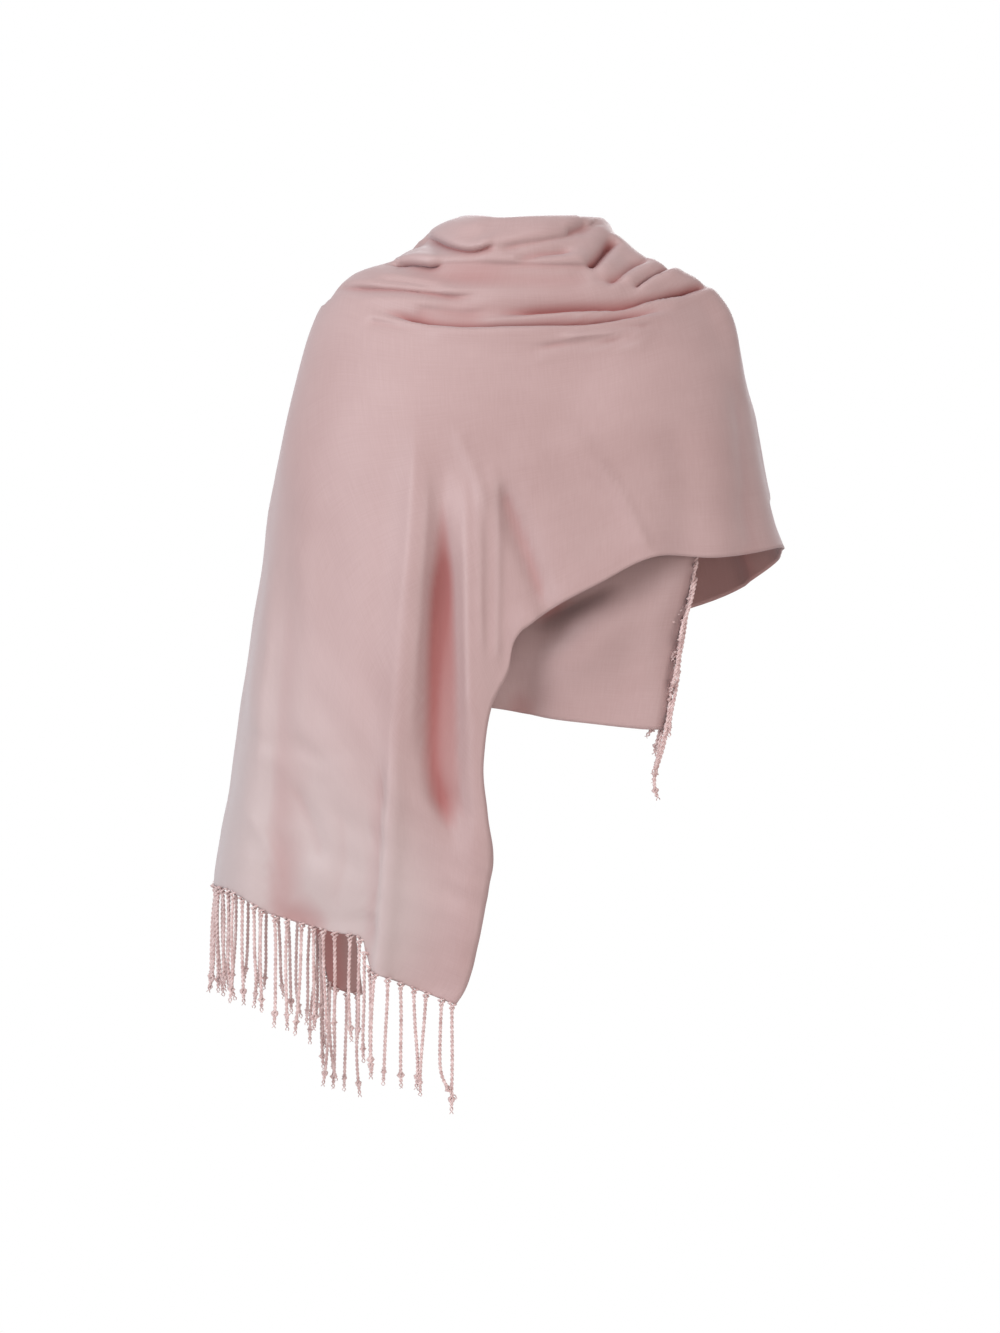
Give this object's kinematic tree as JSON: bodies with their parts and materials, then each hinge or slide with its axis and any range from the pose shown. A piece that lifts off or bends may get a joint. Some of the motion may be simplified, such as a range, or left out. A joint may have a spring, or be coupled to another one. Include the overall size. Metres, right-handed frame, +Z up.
{
  "type": "evening stole",
  "caption": "Long fringed evening stole wound round the shoulders, with a soft cowl at the neck and one end hanging down over the arm.",
  "frame": {"origin": "middle of the shoulders, between the two shoulder tops, where the wearer carries the cloth", "axes": "+Z up, the wearer faces -Y, +X is the wearer's left, and the free end hangs on -X"},
  "size_m": [0.5953, 0.2996, 0.9571],
  "materials": {
    "cloth": "fine dusty pink twill with a soft satin sheen",
    "fringe": "twisted dusty pink yarn"
  },
  "bodies": {
    "root": {"under_stretch": "cloth", "back_stretch": "cloth", "cowl": "cloth", "front_stretch": "cloth", "hanging_end": "cloth", "under_fringe": "fringe", "hanging_fringe_front": "fringe", "hanging_fringe_back": "fringe"}
  },
  "joints": []
}
